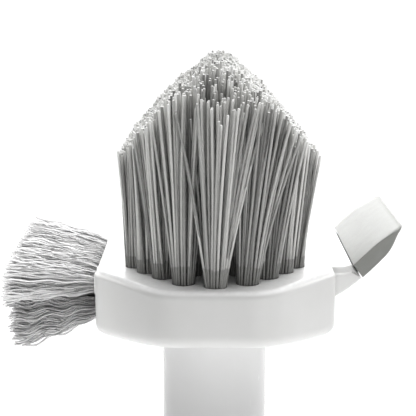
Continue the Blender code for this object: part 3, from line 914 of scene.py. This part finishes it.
def stiff_piece(name, pts, rng):
    roots, tips, heights, bows, kicks = [], [], [], [], []
    for x, y in pts:
        root, tip, h, bow = stiff_tuft(x, y, rng)
        roots.append(root)
        tips.append(tip)
        heights.append(h)
        bows.append(bow)
        kicks.append(np.zeros(len(h)))
    for rx, ry, tx, ty, h, kick in STRAYS.get(name, ()):
        roots.append(np.array([[rx, ry]]))
        tips.append(np.array([[tx, ty]]))
        heights.append(np.array([h]))
        bows.append(np.zeros((1, 2)))
        kicks.append(np.array([kick]))
    root, tip = np.concatenate(roots), np.concatenate(tips)
    h, bow, kick = np.concatenate(heights), np.concatenate(bows), np.concatenate(kicks)
    n = len(h)
    t = LEVELS[None, :]
    ease = 0.80 * t + 0.20 * t ** 2
    xy = (root[:, None, :] + (tip - root)[:, None, :] * ease[..., None]
          + bow[:, None, :] * np.sin(np.pi * t)[..., None])
    xy[:, :, 0] += kick[:, None] * np.maximum(0.0, (t - 0.8) / 0.2) ** 1.5
    z = h[:, None] * t
    body = np.concatenate([xy, z[..., None]], axis=2)
    foot = body[:, :1].copy()
    foot[:, 0, 2] = -HOLE_DEPTH + 0.35
    step = body[:, -1] - body[:, -2]
    step /= np.linalg.norm(step, axis=1, keepdims=True)
    rise = np.array([0.05, 0.10])[None, :, None]
    path = np.concatenate([foot, body, body[:, -1:] + step[:, None, :] * rise], axis=1)
    thick = FILAMENT_R * (1.0 + rng.normal(0.0, 0.045, n)).clip(0.86, 1.14)
    radius = np.repeat(thick[:, None], path.shape[1], axis=1)
    radius[:, -2] *= 0.88
    radius[:, -1] *= 0.60
    along = np.concatenate([np.zeros((n, 1)), np.repeat(t, n, 0), np.ones((n, 2))], axis=1)
    shade = rng.beta(0.85, 1.0, n)
    # The foremost tuft is lighter than the rest.
    first = (root[:, 1] < -29.5) & (np.abs(root[:, 0]) < 2.5)
    shade[first] = 0.18 + 0.76 * shade[first]
    # The front tufts get less of the painted tip highlight and upper-part light, so their ends stay greyer.
    along[root[:, 1] < -22.0] *= 0.945
    along[first] *= 0.97
    strays = len(STRAYS.get(name, ()))
    if strays:
        shade[-strays:] = rng.uniform(0.85, 1.0, strays)
    obj = strands(name.replace("tufts", "filaments"), path, radius, 8, shade, along,
                  (1.0, 0.0, 0.0), rng.uniform(0, 2 * math.pi, n), (STIFF_MAT, STIFF_END), 1)
    return piece(obj, name)


def soft_piece(name, pts, rng):
    """Crimped filaments: locks whose waves are in step, fanned out and ragged."""
    roots, tips, leads, loose_ones = [], [], [], []
    for y, z in pts:
        upper = z == SIDE_UPPER_Z
        uv = packed(1.44, 0.138 if upper else 0.198, rng)
        uv = uv[rng.random(len(uv)) < 0.98]
        ty = y * 1.10 + (-0.45 if "front" in name else 0.45)
        tz = -4.2 + 0.026 * (y + 15.5) if upper else -11.6
        seeds = packed(1.35, 0.95, rng)
        lock = np.argmin(((uv[:, None, :] - seeds[None]) ** 2).sum(2), axis=1)
        moved = rng.normal(0.0, 0.12 if upper else 0.26, (len(seeds), 2))
        spread = np.empty_like(uv)
        spread[:, 0] = ty + uv[:, 0] * (2.0 if upper else 2.0)
        spread[:, 1] = tz + uv[:, 1] * np.where(uv[:, 1] > 0.0, 2.7 if upper else 3.9, 0.9 if upper else 2.7)
        stray = rng.normal(0.0, 1.0, spread.shape).clip((-2.0, -1.0), (2.0, 1.5))
        spread += moved[lock] + stray * ((2.3, 0.58) if upper else (0.50, 0.34))
        wild = rng.random(len(uv)) < 0.04
        spread[wild] += rng.normal(0.0, 0.7, (int(wild.sum()), 2)).clip(-0.9, 0.9)
        if upper:
            # They leave the lower part of the hole, its upper rim stays bare.
            uv[:, 1] = uv[:, 1] * 0.75 - 0.42 - 0.012 * (y + 15.5)
        else:
            # A loose lock hangs below the rest.
            hang = (uv[:, 1] < -0.75) & (rng.random(len(uv)) < 0.55)
            spread[hang, 1] -= rng.uniform(0.2, 1.15, int(hang.sum()))
        loose_ones.append(np.zeros(len(uv), bool) if upper else hang)
        roots.append(uv + (y, z))
        tips.append(spread)
        leads.append((rng.uniform(-0.06, 0.06) + rng.normal(0.0, 0.16 if upper else 0.10, len(seeds)))[lock])
    root, tip, lead = np.concatenate(roots), np.concatenate(tips), np.concatenate(leads)
    n = len(root)
    k = 20 if "upper" in name else 31
    start = -HALF_WIDTH + 2.6
    if "upper" in name:
        end = SIDE_TIP_X + 0.1 + 0.045 * np.maximum(0.0, -root[:, 0])
    else:
        end = (SIDE_TIP_X + 1.2 + 0.25 * np.maximum(0.0, -tip[:, 1] - 13.0)
               - 0.35 * np.maximum(0.0, tip[:, 1] + 10.5))
    end = end + rng.normal(0.0, 0.48, n).clip(-1.0, 1.0)
    t = np.concatenate([[0.0], np.linspace(0.13, 1.0, k - 1)])[None, :]
    x = start + (end[:, None] - start) * t
    out = np.maximum(0.0, (-HALF_WIDTH - x) / (-HALF_WIDTH - end[:, None]))
    ease = out ** (0.66 if "upper" in name else 0.74)
    y = root[:, :1] + (tip[:, :1] - root[:, :1]) * ease
    z = root[:, 1:] + (tip[:, 1:] - root[:, 1:]) * ease
    wave = 5.9 * (1.0 + rng.normal(0.0, 0.03, n))[:, None]
    loose = 0.20 if "upper" in name else 0.06
    phase = (lead + 0.05 * root[:, 0] + 0.07 * root[:, 1] + rng.normal(0.0, loose, n))[:, None] * 2 * np.pi
    grow = np.clip((-HALF_WIDTH - x) / 4.0, 0.0, 1.0)
    size = ((0.18 if "upper" in name else 0.38) * (1.0 + rng.normal(0.0, 0.20, n)))[:, None]
    turn = 2 * np.pi * (-HALF_WIDTH - x) / wave + phase
    z = z + size * grow * np.sin(turn)
    y = y + 0.30 * size * grow * np.sin(turn * 0.93 + 1.1)
    path = np.stack([x, y, z], axis=2)
    step = path[:, -1] - path[:, -2]
    step /= np.linalg.norm(step, axis=1, keepdims=True)
    path = np.concatenate([path, (path[:, -1] + step * 0.04)[:, None, :]], axis=1)
    thick = (0.62 if "upper" in name else 0.78) * SOFT_R * (1.0 + rng.normal(0.0, 0.06, n)).clip(0.82, 1.18)
    # The upper row starts part way up the painted root shade, so its roots are less darkened.
    root_shade_lift = 0.22 if "upper" in name else 0.0
    along = np.concatenate([root_shade_lift + (1.0 - root_shade_lift) * out, np.ones((n, 1))], axis=1)
    radius = thick[:, None] * (1.0 + (0.95 if "upper" in name else 0.48) * along)
    radius[:, -1] *= 0.75
    # Painted light and shade: the upper row is much paler than the lower, standing in for the light from above on
    # it and the shade beneath.
    if "upper" in name:
        shade = rng.normal(0.72, 0.05, n).clip(0.0, 1.0)
    else:
        shade = rng.normal(0.28, 0.05, n).clip(0.0, 1.0)
        pale = rng.random(n) < 0.12
        shade[pale] = rng.uniform(0.35, 0.60, int(pale.sum()))
        hang = np.concatenate(loose_ones)
        shade[hang] = rng.uniform(0.25, 0.55, int(hang.sum()))
        radius[pale | hang] *= 1.4
    obj = strands(name.replace("tufts", "filaments"), path, radius, 3, shade, along,
                  (0.0, 1.0, 0.0), rng.uniform(0, 2 * math.pi, n), (SOFT_MAT, SOFT_END), 1)
    return piece(obj, name)


GROUPS = {"ridge": (4, 5, 4), "inner": (4, 4, 4), "middle": (4, 3, 4), "outer": (3, 4, 3)}


def all_filaments():
    seed = 11
    for column, pts in tuft_columns().items():
        sizes = next(v for k, v in GROUPS.items() if k in column)
        start = 0
        for where, size in zip(("front", "mid", "rear"), sizes):
            seed += 1
            stiff_piece(column + "_" + where, pts[start:start + size], np.random.default_rng(seed))
            start += size
    for name, pts in side_rows().items():
        seed += 1
        soft_piece(name, pts, np.random.default_rng(seed))


head_block()
handle_tube()
end_cap()
scraper()
all_filaments()


# ---- studio ----------------------------------------------------------------------
def floor():
    mesh = bpy.data.meshes.new("studio_floor")
    size = 60.0
    mesh.from_pydata([(-size, -size, 0), (size, -size, 0), (size, size, 0), (-size, size, 0)],
                     [], [(0, 1, 2, 3)])
    obj = link(bpy.data.objects.new("studio_floor", mesh))
    mat = bpy.data.materials.new("studio_floor_white")
    mat.use_nodes = True
    shader = mat.node_tree.nodes["Principled BSDF"]
    shader.inputs["Base Color"].default_value = (0.95, 0.95, 0.95, 1.0)
    shader.inputs["Roughness"].default_value = 0.9
    shader.inputs["Specular IOR Level"].default_value = 0.1
    mesh.materials.append(mat)


def world():
    """Pale room: most light from a tall soft wall behind and from overhead."""
    w = bpy.data.worlds.new("studio_world")
    bpy.context.scene.world = w
    w.use_nodes = True
    tree = w.node_tree
    back = tree.nodes["Background"]
    coords = tree.nodes.new("ShaderNodeTexCoord")

    def glow(direction, low, high, strength):
        """A soft patch of light round a direction of the sky."""
        dot = tree.nodes.new("ShaderNodeVectorMath")
        dot.operation = "DOT_PRODUCT"
        tree.links.new(coords.outputs["Generated"], dot.inputs[0])
        dot.inputs[1].default_value = Vector(direction).normalized()
        node = tree.nodes.new("ShaderNodeMapRange")
        node.interpolation_type = "SMOOTHSTEP"
        for key, value in (("From Min", low), ("From Max", high), ("To Min", 0.0), ("To Max", strength)):
            node.inputs[key].default_value = value
        tree.links.new(dot.outputs["Value"], node.inputs["Value"])
        return node.outputs["Result"]

    def combine(operation, a, b):
        node = tree.nodes.new("ShaderNodeMath")
        node.operation = operation
        for slot, item in ((0, a), (1, b)):
            if isinstance(item, float):
                node.inputs[slot].default_value = item
            else:
                tree.links.new(item, node.inputs[slot])
        return node.outputs["Value"]

    total = glow((0.0, 1.0, 0.45), 0.5, 1.0, 3.60)
    total = combine("ADD", total, glow((0.7, 0.7, 0.25), 0.45, 1.0, 1.12))
    total = combine("ADD", total, glow((0.0, 0.0, 1.0), 0.4, 1.0, 0.40))
    total = combine("ADD", total, 0.02)
    # Seen directly, the room beyond the floor is plain white on every side.
    seen = tree.nodes.new("ShaderNodeLightPath").outputs["Is Camera Ray"]
    total = combine("MAXIMUM", total, seen)
    tree.links.new(total, back.inputs["Strength"])
    back.inputs["Color"].default_value = (1.0, 1.0, 1.0, 1.0)


def aimed(name, data, where, aim):
    obj = link(bpy.data.objects.new(name, data))
    obj.location = where
    obj.rotation_euler = (Vector(aim) - Vector(where)).to_track_quat("-Z", "Y").to_euler()
    obj.visible_camera = False
    return obj


def area(name, where, aim, size, power):
    data = bpy.data.lights.new(name, "AREA")
    data.shape = "SQUARE"
    data.size = size
    data.energy = power
    return aimed(name, data, where, aim)


def spot(name, where, aim, angle, power, radius):
    data = bpy.data.lights.new(name, "SPOT")
    data.spot_size = math.radians(angle)
    data.spot_blend = 1.0
    data.shadow_soft_size = radius
    data.energy = power
    return aimed(name, data, where, aim)


floor()
world()
area("soft_overhead", (0.05, 0.02, 0.80), (0.0, 0.0, 0.20), 0.5, 2.55)
area("soft_front_top", (0.10, -0.22, 0.62), (0.0, 0.0, 0.20), 0.25, 0.18)
spot("front_fill", (0.32, -0.45, 0.17), (0.0, 0.0, 0.211), 12.4, 2.3, 0.03)
spot("camera_fill", (-0.01, -0.50, 0.31), (0.0, 0.0, 0.211), 12.4, 0.55, 0.03)
spot("side_fill", (-0.16, -0.48, 0.26), (-0.0425, 0.0, 0.199), 4.85, 22.5, 0.025)
spot("left_top", (-0.40, -0.10, 0.60), (-0.02, 0.0, 0.20), 14.0, 0.6, 0.05)

cam = bpy.data.cameras.new("camera")
cam.lens = 97.65
cam.sensor_width = 36.0
cam.clip_start = 0.01
cam.clip_end = 200.0
camera = link(bpy.data.objects.new("camera", cam))
camera.location = (-0.00128, -0.21683, 0.25683)
camera.rotation_euler = (math.radians(90.0 - 11.68), 0.0, 0.0)
bpy.context.scene.camera = camera
bpy.context.scene.view_settings.view_transform = "Standard"
bpy.context.scene.view_settings.look = "None"
